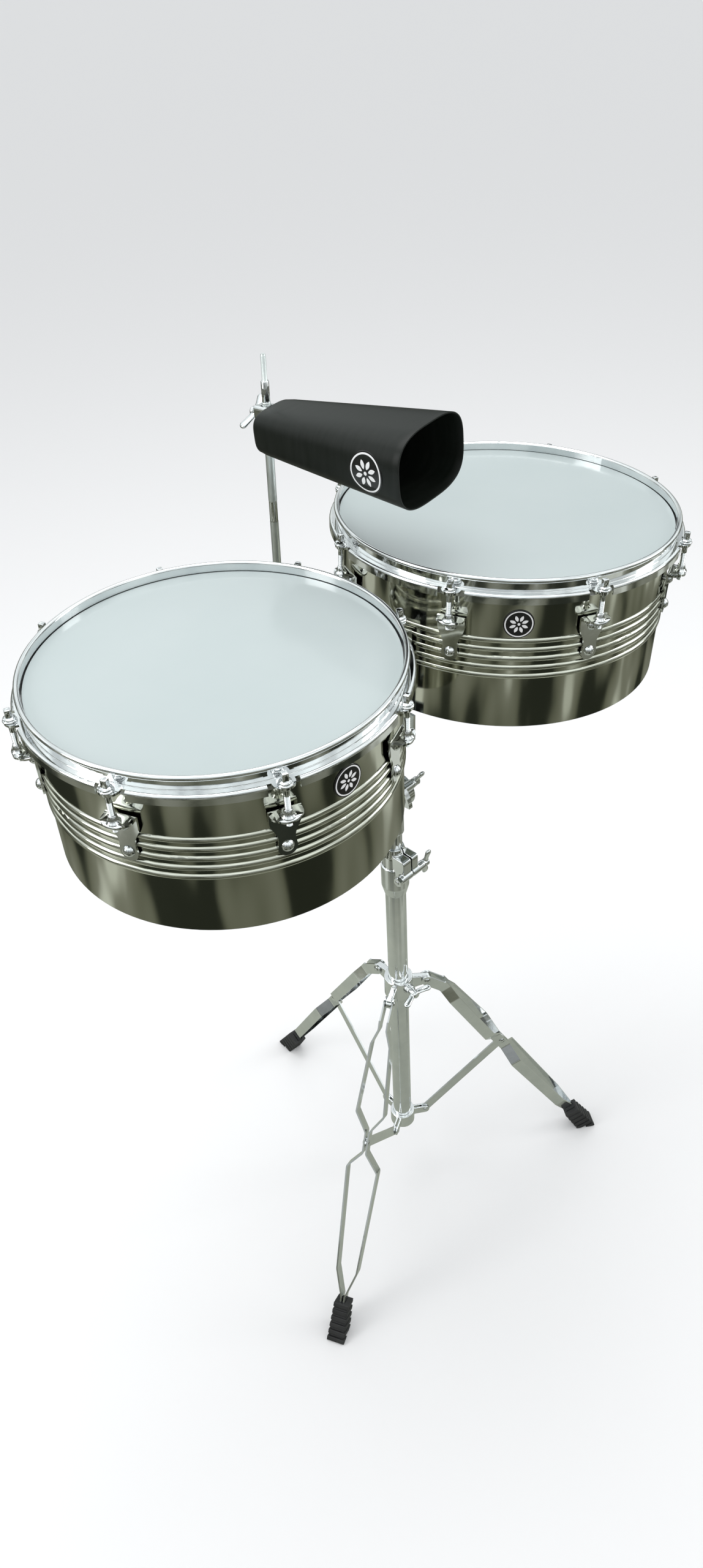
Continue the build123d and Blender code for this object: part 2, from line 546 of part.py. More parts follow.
def build_cowbell():
    keep("cowbell_post", POST, cowbell_post())
    frame = bell_frame()
    on_post = frame.inverse() * POST * Pos(0, POST_Y, BELL_CLAMP_HEIGHT)
    keep("bell_clamp_liner", POST * Pos(0, POST_Y, BELL_CLAMP_HEIGHT), tube(LINER, ROD_POST + RUN, -8.0, 8.0))
    face = BELL_STANDOFF - BELL_TAB[1]
    clamp = block(-9, 9, -9, 9, -CLAMP_BACK, face - RUN)
    clamp = fillet(clamp.edges().filter_by(Axis.Z), 3.0)
    clamp -= rod(LINER + RUN, 60, on_post * Pos(0, 0, -30))
    clamp += rod(BOLT, BELL_TAB[1] + BELL_WALL + 7.0, Pos(0, 0, face - 1.0))
    clamp -= rod(BOLT + RUN, 12, Pos(0, 0, -16))
    lock_nut = Pos(0, 0, BELL_STANDOFF + BELL_WALL + 0.1) * hexagon(NUT_ACROSS, NUT_HEIGHT, BOLT + RUN)
    keep("bell_clamp", frame, [clamp, lock_nut])
    wing = wing_bolt(BOLT, CLAMP_BACK - LINER - 0.1, hub_radius=5.5, hub_height=8.0, reach=20.0, rise=7.0)
    keep("bell_wing_bolt", frame * Pos(0, 0, -CLAMP_BACK) * Rot(180, 0, 0), Rot(0, 0, -38) * wing)
    bell = bell_offset() * cowbell() - rod(BOLT + RUN, 20, Pos(0, 0, BELL_STANDOFF - 5))
    keep("cowbell", frame, bell)
    share = BELL_BADGE_FROM_END / BELL_LENGTH
    near, far = BELL_END[0] / 2 + BELL_END[2], BELL_MOUTH[0] / 2 + BELL_MOUTH[2]
    flare = degrees(atan2(far - near, BELL_LENGTH))
    side_x = near + (far - near) * share + 0.02
    on_side = Pos(-side_x, 0, BELL_BADGE_FROM_END) * Rot(0, -flare, 0) * Rot(0, -90, 0)
    keep("cowbell_badge", frame * bell_offset() * Rot(0, 0, BELL_ROLL) * on_side, badge(BELL_BADGE_RADIUS))


# ---------------------------------------------------------------- stand
def height_clamp():
    """The casting at the top of the lower tube: a housing, and a split collar that grips the mast."""
    y, z = CLAMP_BOLT
    top = LOWER_TUBE_TOP
    body = Pos(0, 0, top - 33) * cone(LOWER_TUBE + 0.6, CLAMP_RADIUS, 14)
    body += rod(CLAMP_RADIUS, 32, Pos(0, 0, top - 19))
    body += rod(14.5, 16, Pos(0, 0, top + 13))
    body += Pos(0, 0, top + 29) * cone(14.5, 11.5, 12)
    body += rod(5.3, CLAMP_BOSS[1] - CLAMP_BOSS[0], along_x(CLAMP_BOSS[0], y, z))
    ears = block(-12, 13, y - 2, -8, z - 4, top + 34)
    body += fillet(ears.edges().filter_by(Axis.X).group_by(Axis.Y)[0], 4.0)
    body -= rod(LOWER_TUBE, 40, Pos(0, 0, top - 40))
    body -= rod(UPPER_TUBE + RUN, 100, Pos(0, 0, top - 30))
    body -= block(1, 3, -60, -UPPER_TUBE + 1, top + 2, top + 50)
    return body - rod(BOLT + RUN, 80, along_x(-40, y, z))


def leg_hub():
    """The sliding ring that carries the three legs, with a web plate for each."""
    body = rod(HUB_RADIUS, HUB_TOP - HUB_BOTTOM, Pos(0, 0, HUB_BOTTOM))
    r, z = HUB_PIVOT
    for az in LEG_AZIMUTHS.values():
        corners = [(10, z - 13), (10, z + 10), (r, z + 6.5), (r, z - 6.5), (26, z - 9)]
        face = make_face(Polyline(*corners, close=True)) + Pos(r, z) * Circle(6.5)
        web = Plane(origin=(0, 4, 0), x_dir=(1, 0, 0), z_dir=(0, -1, 0)) * extrude(face, 8)
        body += Rot(0, 0, az) * web
        body -= Rot(0, 0, az) * Pos(r, 20, z) * Rot(90, 0, 0) * rod(RIVET + RUN, 40)
    boss = Rot(0, 0, HUB_BOLT_AZIMUTH) * along_x(HUB_BOSS_END - 9, 0, HUB_BOLT_Z)
    body += rod(7.0, 9, boss)
    body -= rod(LOWER_TUBE + RUN, 60, Pos(0, 0, HUB_BOTTOM - 5))
    return body - rod(BOLT + RUN, 30, Rot(0, 0, HUB_BOLT_AZIMUTH) * along_x(5, 0, HUB_BOLT_Z))


def lower_collar():
    """The fixed ring at the tube's foot, with a pair of ears for each brace."""
    body = rod(17.0, 22, Pos(0, 0, LOWER_TUBE_BOTTOM + 2))
    r, z = COLLAR_PIVOT
    inner = BRACE_THICK / 2 + GAP
    for az in LEG_AZIMUTHS.values():
        for side in (1, -1):
            corners = [(10, z - 6.5), (10, z + 6.5), (r, z + 6.5), (r, z - 6.5)]
            ear = make_face(Polyline(*corners, close=True)) + Pos(r, z) * Circle(6.5)
            y0 = inner if side > 0 else -inner - 2.5
            plate = Plane(origin=(0, y0 + 2.5, 0), x_dir=(1, 0, 0), z_dir=(0, -1, 0)) * extrude(ear, 2.5)
            body += Rot(0, 0, az) * plate
    body -= rod(LOWER_TUBE, 60, Pos(0, 0, LOWER_TUBE_BOTTOM - 18))
    for az in LEG_AZIMUTHS.values():
        body -= Rot(0, 0, az) * Pos(r, 20, z) * Rot(90, 0, 0) * rod(RIVET + 0.01, 40)
        body -= Rot(0, 0, az) * block(19.0, 45, -inner, inner, z - 10, z + 10)
    return body


def headed_pin(r, z, half, head):
    """A pin along Y with a low round head at each end."""
    pin = rod(RIVET, 2 * half, Pos(r, half, z) * Rot(90, 0, 0))
    pin += Pos(r, half, z) * Rot(-90, 0, 0) * dome(head, 1.8)
    return pin + Pos(r, -half, z) * Rot(90, 0, 0) * dome(head, 1.8)


def collar_pins():
    """The three pins the braces turn on."""
    r, z = COLLAR_PIVOT
    half = BRACE_THICK / 2 + GAP + 2.5
    pin = headed_pin(r, z, half, 4.2)
    return [Rot(0, 0, az) * pin for az in LEG_AZIMUTHS.values()]


LEG_DROP = degrees(atan2(LEG_BEND[1] - FOOT_POINT[1], FOOT_POINT[0] - LEG_BEND[0]))
TO_BRACE = hypot(BRACE_PIVOT[0] - LEG_BEND[0], BRACE_PIVOT[1] - LEG_BEND[1])
TO_FLOOR = hypot(FOOT_POINT[0] - LEG_BEND[0], FOOT_POINT[1] - LEG_BEND[1])
TOP_INNER = 4.0 + GAP                         # a strip's inner face at the hub
PINCH = BRACE_THICK / 2 + GAP + STRIP_THICK / 2   # a strip's middle at the brace pivot


def leg_line_frame():
    """At the leg's bend: +X runs down the leg, +Y is sideways, +Z is up and outwards."""
    return Pos(LEG_BEND[0], 0, LEG_BEND[1]) * Rot(0, LEG_DROP, 0)


def leg_strip():
    """One bent flat bar of a leg, on the +Y side, with its top end on the hub's pivot."""
    s = TOP_INNER + STRIP_THICK / 2
    foot = TO_FLOOR - FOOT_START
    path = FilletPolyline((-6, s), (6, s), (26, 12.5), (TO_BRACE - 40, 18.5), (TO_BRACE - 15, PINCH),
                          (TO_BRACE + 14, PINCH), (TO_BRACE + 36, 20.5), (foot - 45, 13.5), (foot - 8, 2.2),
                          (TO_FLOOR - STRIP_END, 2.2), radius=5)
    bar = extrude(trace(path, STRIP_THICK), STRIP_WIDTH / 2, both=True)
    bar = leg_line_frame() * bar
    arm = hypot(LEG_BEND[0] - HUB_PIVOT[0], LEG_BEND[1] - HUB_PIVOT[1])
    slope = degrees(atan2(HUB_PIVOT[1] - LEG_BEND[1], LEG_BEND[0] - HUB_PIVOT[0]))
    face = Pos(arm / 2, 0) * SlotOverall(arm + STRIP_WIDTH, STRIP_WIDTH)
    at_pivot = Pos(HUB_PIVOT[0], TOP_INNER + STRIP_THICK, HUB_PIVOT[1]) * Rot(0, slope, 0)
    strip = bar + at_pivot * Rot(90, 0, 0) * extrude(face, STRIP_THICK)
    pivot = Pos(HUB_PIVOT[0], 20, HUB_PIVOT[1]) * Rot(90, 0, 0)
    brace = Pos(BRACE_PIVOT[0], 20, BRACE_PIVOT[1]) * Rot(90, 0, 0)
    return strip - rod(RIVET, 40, pivot) - rod(RIVET, 40, brace)


def leg_rivets():
    """The top pivot's rivet through the hub, and a stub rivet in each strip at the brace."""
    r, z = HUB_PIVOT
    half = TOP_INNER + STRIP_THICK
    top = headed_pin(r, z, half, 4.6)
    r, z = BRACE_PIVOT
    inner, outer = PINCH - STRIP_THICK / 2, PINCH + STRIP_THICK / 2
    stub = rod(RIVET, STRIP_THICK, Pos(r, inner, z) * Rot(-90, 0, 0))
    stub += Pos(r, outer, z) * Rot(-90, 0, 0) * dome(4.6, 1.8)
    return [top, stub, mirror(stub, Plane.XZ)]


def leg_foot():
    """A ribbed rubber foot over the strips' ends, cut level with the floor."""
    frame = leg_line_frame()
    start = TO_FLOOR - FOOT_START
    pitch = FOOT_START / FOOT_RIBS
    half_w, half_d = FOOT_WIDTH / 2, FOOT_DEPTH / 2
    body = block(start, TO_FLOOR + 14, 2 - half_w, half_w - 2, 2 - half_d, half_d - 2)
    for i in range(FOOT_RIBS + 1):
        x, w, d = start + i * pitch, half_w + 0.35 * i, half_d + 0.35 * i
        body += block(x, x + pitch * 0.62, -w, w, -d, d)
    body = frame * body & block(150, 400, -60, 60, 0, 200)
    half_strip = STRIP_WIDTH / 2 + 0.05
    slot = block(start - 5, TO_FLOOR - STRIP_END + 0.1, 1.15, 3.25, -half_strip, half_strip)
    return body - frame * slot - frame * mirror(slot, Plane.XZ)


def brace():
    """A flat bar from the lower collar to the leg, in the plane between the leg's two strips."""
    length = hypot(BRACE_PIVOT[0] - COLLAR_PIVOT[0], BRACE_PIVOT[1] - COLLAR_PIVOT[1])
    slope = degrees(atan2(BRACE_PIVOT[1] - COLLAR_PIVOT[1], BRACE_PIVOT[0] - COLLAR_PIVOT[0]))
    face = Pos(length / 2, 0) * SlotOverall(length + BRACE_WIDTH, BRACE_WIDTH)
    bar = Rot(90, 0, 0) * extrude(face, BRACE_THICK / 2, both=True)
    bar -= Rot(90, 0, 0) * Pos(0, 0, -5) * rod(RIVET + RUN, 10)
    bar -= Pos(length, 0, 0) * Rot(90, 0, 0) * Pos(0, 0, -5) * rod(RIVET + RUN, 10)
    return Pos(COLLAR_PIVOT[0], 0, COLLAR_PIVOT[1]) * Rot(0, -slope, 0) * bar


def build_stand():
    keep("lower_tube", STAND, tube(LOWER_TUBE, LOWER_TUBE - TUBE_WALL, LOWER_TUBE_BOTTOM, LOWER_TUBE_TOP))
    keep("upper_tube", STAND, tube(UPPER_TUBE, UPPER_TUBE - TUBE_WALL, UPPER_TUBE_BOTTOM, TILT_Z - 22.6))
    bushing = tube(LOWER_TUBE - TUBE_WALL, UPPER_TUBE + RUN, LOWER_TUBE_TOP - BUSHING_LENGTH, LOWER_TUBE_TOP)
    keep("tube_bushing", STAND, bushing)
    keep("height_clamp", STAND, height_clamp())
    y, z = CLAMP_BOLT
    length = CLAMP_BOSS[1] - CLAMP_BOSS[0] + 5.5
    wing = Rot(0, 0, 4) * wing_bolt(BOLT, length, reach=16.5, rise=5.0)
    keep("height_wing_bolt", STAND * along_x(CLAMP_BOSS[1], y, z), wing)
    nut = hexagon(NUT_ACROSS, NUT_HEIGHT, BOLT + RUN)
    keep("height_clamp_nut", STAND * along_x(CLAMP_BOSS[0] - NUT_HEIGHT, y, z), nut)
    keep("leg_hub", STAND, leg_hub())
    boss = STAND * Rot(0, 0, HUB_BOLT_AZIMUTH) * along_x(HUB_BOSS_END, 0, HUB_BOLT_Z)
    wing = wing_bolt(BOLT, HUB_BOSS_END - LOWER_TUBE - 0.1, hub_height=14.0, reach=20.0, rise=6.0, lift=5.0)
    keep("hub_wing_bolt", boss, Rot(0, 0, 104) * wing)
    keep("lower_collar", STAND, lower_collar())
    keep("collar_pins", STAND, collar_pins())
    strip = leg_strip()
    for name, az in LEG_AZIMUTHS.items():
        turn = STAND * Rot(0, 0, az)
        keep(name + "_leg_strips", turn, [strip, mirror(strip, Plane.XZ)])
        keep(name + "_leg_rivets", turn, leg_rivets())
        keep(name + "_leg_brace", turn, brace())
        keep(name + "_leg_foot", turn, leg_foot())


if __name__ == "__main__":
    os.makedirs("parts", exist_ok=True)
    for drum_name, drum_sizes in DRUMS.items():
        build_drum(drum_name, drum_sizes)
    build_head()
    build_cowbell()
    build_stand()
    for node_name, shape in PARTS.items():
        export_step(shape, f"parts/{node_name}.step")
    whole = Compound(children=list(PARTS.values())).bounding_box()
    print(len(PARTS), "nodes; box", whole.min, whole.max)
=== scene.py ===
import json
from math import atan2, cos, degrees, hypot, pi, radians, sin, tau
import bpy
import bmesh
from mathutils import Euler, Matrix, Vector


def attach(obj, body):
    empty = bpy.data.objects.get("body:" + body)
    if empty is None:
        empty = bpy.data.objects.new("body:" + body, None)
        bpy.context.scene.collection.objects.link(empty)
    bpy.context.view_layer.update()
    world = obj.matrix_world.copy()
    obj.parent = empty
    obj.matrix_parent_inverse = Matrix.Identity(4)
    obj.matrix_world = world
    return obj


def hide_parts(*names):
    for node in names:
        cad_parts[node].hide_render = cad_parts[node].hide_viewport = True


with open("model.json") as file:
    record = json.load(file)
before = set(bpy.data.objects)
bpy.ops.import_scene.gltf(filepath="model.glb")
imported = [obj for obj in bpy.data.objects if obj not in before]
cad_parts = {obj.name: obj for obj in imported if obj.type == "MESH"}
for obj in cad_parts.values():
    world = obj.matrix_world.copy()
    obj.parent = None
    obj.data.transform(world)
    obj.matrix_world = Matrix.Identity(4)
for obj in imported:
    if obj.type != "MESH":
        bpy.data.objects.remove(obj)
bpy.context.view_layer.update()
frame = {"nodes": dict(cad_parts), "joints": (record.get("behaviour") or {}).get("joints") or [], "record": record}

# A timbale set on a tripod stand, with a cowbell on a knurled post. Scene units are metres, in the CAD's frame.
# Lengths inside the mesh builders are millimetres.

# ---------------------------------------------------------------- the frame's own facts
JOINTS = {j["name"]: j for j in frame["joints"]}
SLOT_OF = {s["node"]: s["material_slot"] for s in frame["record"]["subparts"]}


# ---------------------------------------------------------------- materials
def node_tree(name):
    """A new material, with its nodes, links and shader."""
    material = bpy.data.materials.new(name)
    material.use_nodes = True
    tree = material.node_tree
    return material, tree, tree.nodes["Principled BSDF"]


def add(tree, kind, **inputs):
    """A node with its inputs set, or linked where the value is a socket."""
    node = tree.nodes.new(kind)
    for name, value in inputs.items():
        key = int(name[1:]) if name[0] == "i" and name[1:].isdigit() else name.replace("_", " ")
        if isinstance(value, bpy.types.NodeSocket):
            tree.links.new(value, node.inputs[key])
        else:
            node.inputs[key].default_value = value
    return node


def ramp(tree, source, stops):
    """A colour ramp over a value. Each stop is (position, grey or colour)."""
    node = tree.nodes.new("ShaderNodeValToRGB")
    tree.links.new(source, node.inputs[0])
    while len(node.color_ramp.elements) < len(stops):
        node.color_ramp.elements.new(0.5)
    for element, (position, colour) in zip(node.color_ramp.elements, stops):
        element.position = position
        element.color = (colour, colour, colour, 1) if isinstance(colour, float) else (*colour, 1)
    return node.outputs[0]


def spread(tree, source, low, high):
    """Maps a 0 to 1 value onto low to high."""
    node = tree.nodes.new("ShaderNodeMapRange")
    tree.links.new(source, node.inputs[0])
    node.inputs[3].default_value = low
    node.inputs[4].default_value = high
    return node.outputs[0]


def noise(tree, where, scale, detail=4.0, roughness=0.5):
    """A 0 to 1 noise value."""
    node = add(tree, "ShaderNodeTexNoise", Vector=where, Scale=scale, Detail=detail, Roughness=roughness)
    return node.outputs[0]


def place(tree, stretch=(1, 1, 1)):
    """The object's own coordinates, stretched."""
    coordinates = tree.nodes.new("ShaderNodeTexCoord")
    return add(tree, "ShaderNodeMapping", Vector=coordinates.outputs["Object"], Scale=stretch).outputs[0]


def bump(tree, shader, height, distance, strength):
    """Raises the shader's surface by a height value."""
    node = add(tree, "ShaderNodeBump", Height=height, Distance=distance, Strength=strength)
    tree.links.new(node.outputs[0], shader.inputs["Normal"])


def chrome():
    """Bright chrome plate, with faint smears and a slight waver."""
    material, tree, shader = node_tree("chrome_plate")
    smear = noise(tree, place(tree), 38.0, 5.0, 0.6)
    shader.inputs["Metallic"].default_value = 1.0
    tint = ramp(tree, smear, [(0.3, (0.73, 0.75, 0.76)), (0.7, (0.84, 0.85, 0.85))])
    tree.links.new(tint, shader.inputs["Base Color"])
    tree.links.new(spread(tree, smear, 0.03, 0.13), shader.inputs["Roughness"])
    bump(tree, shader, noise(tree, place(tree), 90.0, 2.0), 0.00012, 0.35)
    return material


def shell_steel():
    """Rolled and chromed shell sheet, polished up and down, so that reflections break into upright streaks. Its
    colour is the chrome's own tone, dimmed, tinted green and streaked upright as painted reflection of a dark
    room.
    """
    material, tree, shader = node_tree("shell_plate_painted_reflection")
    # An upright streak noise: it paints reflection streaks into the colour, and raises real polish marks in the
    # bump.
    upright = noise(tree, place(tree, (1, 1, 0.05)), 13.0, 3.0, 0.5)
    smear = noise(tree, place(tree), 14.0, 5.0, 0.65)
    shader.inputs["Metallic"].default_value = 1.0
    # Painted reflection: the dim greenish tint and its upright streaks stand in for the dark room that the shell
    # reflects.
    tint = ramp(tree, upright, [(0.32, (0.53, 0.535, 0.455)), (0.68, (0.64, 0.645, 0.57))])
    tree.links.new(tint, shader.inputs["Base Color"])
    tree.links.new(spread(tree, smear, 0.04, 0.12), shader.inputs["Roughness"])
    bump(tree, shader, upright, 0.0012, 0.035)
    return material


def knurled_steel():
    """Zinc-plated steel whose cut diamonds scatter the light."""
    material, tree, shader = node_tree("knurled_zinc")
    wear = noise(tree, place(tree), 60.0, 4.0)
    shader.inputs["Metallic"].default_value = 1.0
    tint = ramp(tree, wear, [(0.3, (0.70, 0.74, 0.73)), (0.7, (0.84, 0.88, 0.87))])
    tree.links.new(tint, shader.inputs["Base Color"])
    tree.links.new(spread(tree, wear, 0.3, 0.42), shader.inputs["Roughness"])
    bump(tree, shader, noise(tree, place(tree), 800.0, 2.0), 0.0001, 0.4)
    return material


def satin_metal():
    """Extruded aluminium, lightly brushed."""
    material, tree, shader = node_tree("satin_aluminium")
    grain = noise(tree, place(tree, (1, 1, 12)), 120.0, 3.0)
    shader.inputs["Metallic"].default_value = 1.0
    tree.links.new(ramp(tree, grain, [(0.3, 0.55), (0.7, 0.72)]), shader.inputs["Base Color"])
    tree.links.new(spread(tree, grain, 0.24, 0.4), shader.inputs["Roughness"])
    bump(tree, shader, grain, 0.0001, 0.3)
    return material


def drum_skin():
    """Smooth white polyester film: a fine even grain, and faint greying where it is played."""
    material, tree, shader = node_tree("white_film")
    where = place(tree)
    cloud = noise(tree, where, 5.0, 4.0, 0.55)
    grain = noise(tree, where, 1400.0, 2.0)
    tint = ramp(tree, cloud, [(0.3, (0.455, 0.52, 0.52)), (0.7, (0.485, 0.545, 0.545))])
    tree.links.new(tint, shader.inputs["Base Color"])
    tree.links.new(spread(tree, noise(tree, where, 30.0, 4.0), 0.16, 0.27), shader.inputs["Roughness"])
    shader.inputs["Coat Weight"].default_value = 0.25
    shader.inputs["Coat Roughness"].default_value = 0.08
    bump(tree, shader, grain, 0.00004, 0.3)
    return material


def black_enamel():
    """Satin black enamel on folded steel, with fine orange peel and faint long rubs."""
    material, tree, shader = node_tree("satin_black_enamel")
    peel = noise(tree, place(tree), 700.0, 2.0)
    rubs = noise(tree, place(tree, (1, 9, 1)), 16.0, 6.0, 0.7)
    tint = ramp(tree, rubs, [(0.35, (0.005, 0.007, 0.005)), (0.75, (0.011, 0.013, 0.011))])
    tree.links.new(tint, shader.inputs["Base Color"])
    shader.inputs["Specular IOR Level"].default_value = 0.22
    tree.links.new(spread(tree, rubs, 0.3, 0.48), shader.inputs["Roughness"])
    bump(tree, shader, peel, 0.00006, 0.5)
    return material


def moulded_rubber():
    """Black rubber with fine pores and dust."""
    material, tree, shader = node_tree("moulded_rubber")
    pores = noise(tree, place(tree), 420.0, 4.0, 0.65)
    dust = noise(tree, place(tree), 22.0, 5.0)
    tree.links.new(ramp(tree, dust, [(0.35, 0.010), (0.75, 0.030)]), shader.inputs["Base Color"])
    tree.links.new(spread(tree, dust, 0.5, 0.78), shader.inputs["Roughness"])
    bump(tree, shader, pores, 0.0002, 0.6)
    return material


def black_nylon():
    """Black nylon with a fine moulded grain."""
    material, tree, shader = node_tree("black_nylon")
    grain = noise(tree, place(tree), 500.0, 3.0)
    tree.links.new(ramp(tree, grain, [(0.3, 0.018), (0.7, 0.03)]), shader.inputs["Base Color"])
    tree.links.new(spread(tree, grain, 0.38, 0.52), shader.inputs["Roughness"])
    bump(tree, shader, grain, 0.0001, 0.4)
    return material


def badge_black():
    """The badge's black ground."""
    material, tree, shader = node_tree("badge_black")
    print_grain = noise(tree, place(tree), 900.0, 2.0)
    tree.links.new(ramp(tree, print_grain, [(0.3, 0.006), (0.7, 0.012)]), shader.inputs["Base Color"])
    tree.links.new(spread(tree, print_grain, 0.18, 0.3), shader.inputs["Roughness"])
    return material


def badge_white():
    """The badge's white ring and rosette."""
    material, tree, shader = node_tree("badge_white")
    print_grain = noise(tree, place(tree), 900.0, 2.0)
    tree.links.new(ramp(tree, print_grain, [(0.3, 0.76), (0.7, 0.84)]), shader.inputs["Base Color"])
    tree.links.new(spread(tree, print_grain, 0.25, 0.4), shader.inputs["Roughness"])
    return material


FINISH = {
    "chrome": chrome(),
    "steel_shell": shell_steel(),
    "aluminium": satin_metal(),
    "drumhead": drum_skin(),
    "badge": badge_black(),
    "black_enamel": black_enamel(),
    "rubber": moulded_rubber(),
    "nylon": black_nylon(),
}
for node_name, cad_object in frame["nodes"].items():
    cad_object.data.materials.clear()
    cad_object.data.materials.append(FINISH[SLOT_OF[node_name]])
BODY_OF = {node: body for body, nodes in frame["record"]["behaviour"]["bodies"].items() for node in nodes}


# ---------------------------------------------------------------- the set's own frames, in millimetres
MM = 0.001
POLE = Vector(JOINTS["mast_swivel"]["pos_m"]) / MM
TILT = Vector(JOINTS["head_tilt"]["pos_m"]) / MM
SHELL_RADIUS = {"drum13": 165.1, "drum14": 177.8}
LIP_CENTRE = {"drum13": (-211.7, 13.2, 279.9), "drum14": (196.4, 13.2, 279.2)}
SAG = {"drum13": -0.6, "drum14": 2.4}
BADGE_AT = {"drum13": -91.0, "drum14": -136.5}
BADGE_DEPTH = {"drum13": 50.5, "drum14": 50.0}
BADGE_RADIUS, BELL_BADGE_RADIUS = 15.3, 20.5
LUG_START, LUGS = 22.5, 8
ROD_OFFSET = 14.0                   # from the shell's wall to a tuning rod
POST_Y = 191.0
HEAD_LEAN, POST_LEAN = 1.2, 1.0     # degrees
POST_START = (17.2, 0, 62.0)


def frame_at(x=0.0, y=0.0, z=0.0, *turns):
    """A move in millimetres, then turns about the moved frame's own axes."""
    moved = Matrix.Translation(Vector((x, y, z)) * MM)
    for axis, angle in turns:
        moved = moved @ Matrix.Rotation(radians(angle), 4, axis)
    return moved


HEAD = frame_at(POLE.x, POLE.y, TILT.z, ("X", HEAD_LEAN))
POST = HEAD @ frame_at(*POST_START, ("Y", POST_LEAN))
DRUM = {name: HEAD @ frame_at(*LIP_CENTRE[name], ("Y", SAG[name])) for name in LIP_CENTRE}


# ---------------------------------------------------------------- mesh helpers
def loft(bm, where, rings, start_cap=True, end_cap=True, material=0):
    """Skins rings of points, given in millimetres in a frame."""
    rows = [[bm.verts.new(where @ (Vector(p) * MM)) for p in ring] for ring in rings]
    faces = []
    for low, high in zip(rows, rows[1:]):
        for i in range(len(low)):
            j = (i + 1) % len(low)
            faces.append(bm.faces.new((low[i], low[j], high[j], high[i])))
    if start_cap:
        faces.append(bm.faces.new(list(reversed(rows[0]))))
    if end_cap:
        faces.append(bm.faces.new(rows[-1]))
    for face in faces:
        face.material_index = material


def ring(radius, z, count):
    """A circle of points."""
    return [(radius * cos(tau * i / count), radius * sin(tau * i / count), z) for i in range(count)]


def lathe(bm, where, profile, count=28, material=0):
    """A solid of revolution about the frame's Z, through (radius, height) points from bottom to top."""
    loft(bm, where, [ring(max(r, 0.01), z, count) for r, z in profile], material=material)


def piece(name, bm, nodes, sharp=38, ink=None):
    """Turns a mesh into a piece in place of CAD nodes, with their body and the finish of their slot."""
    mesh = bpy.data.meshes.new(name)
    bmesh.ops.recalc_face_normals(bm, faces=bm.faces)
    bm.to_mesh(mesh)
    bm.free()
    made = bpy.data.objects.new(name, mesh)
    bpy.context.scene.collection.objects.link(made)
    dress(made, nodes, sharp, ink)


def dress(made, nodes, sharp, ink=None):
    """Gives a piece its shading, its materials chosen by its nodes' slot, and its nodes' body, and hides the CAD
    nodes that it replaces.
    """
    made.data.shade_smooth()
    made.data.set_sharp_from_angle(angle=radians(sharp))
    made.data.materials.append(FINISH[SLOT_OF[nodes[0]]])
    if ink:
        made.data.materials.append(ink)
    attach(made, BODY_OF[nodes[0]])
    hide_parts(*nodes)


def melted(bm, name, voxel, passes):
    """Fuses a mesh's overlapping forms and rounds its edges, as a casting's are."""
    mesh = bpy.data.meshes.new(name)
    bm.to_mesh(mesh)
    bm.free()
    rough = bpy.data.objects.new(name + "_rough", mesh)
    bpy.context.scene.collection.objects.link(rough)
    remesh = rough.modifiers.new("fuse", "REMESH")
    remesh.mode = "VOXEL"
    remesh.voxel_size = voxel * MM
    soften = rough.modifiers.new("round", "SMOOTH")
    soften.factor = 0.5
    soften.iterations = passes
    bpy.context.view_layer.update()
    final = bpy.data.meshes.new_from_object(rough.evaluated_get(bpy.context.evaluated_depsgraph_get()))
    bpy.data.objects.remove(rough)
    bpy.data.meshes.remove(mesh)
    return final


# ---------------------------------------------------------------- castings and rubber
WELD = 0.00001                      # metres: vertices nearer than this are one
CAST_VOXEL, CAST_PASSES = 0.7, 3
SHAFT_OUT, EAR_OUT = 0.0034, 0.0075     # metres from a wing bolt's axis


def cast(node):
    """A CAD solid with its edges rounded like a casting's or a moulding's."""
    bm = bmesh.new()
    bm.from_mesh(frame["nodes"][node].data)
    bmesh.ops.remove_doubles(bm, verts=bm.verts, dist=WELD)
    made = bpy.data.objects.new(node + "_cast", melted(bm, node + "_cast", CAST_VOXEL, CAST_PASSES))
    bpy.context.scene.collection.objects.link(made)
    dress(made, [node], 180)


def ellipsoid(bm, middle, radii, basis):
    """An ellipsoid with its axes along a basis, in metres."""
    matrix = Matrix.Translation(middle) @ basis @ Matrix.Diagonal((*radii, 1))
    bmesh.ops.create_uvsphere(bm, u_segments=20, v_segments=12, radius=1.0, matrix=matrix)


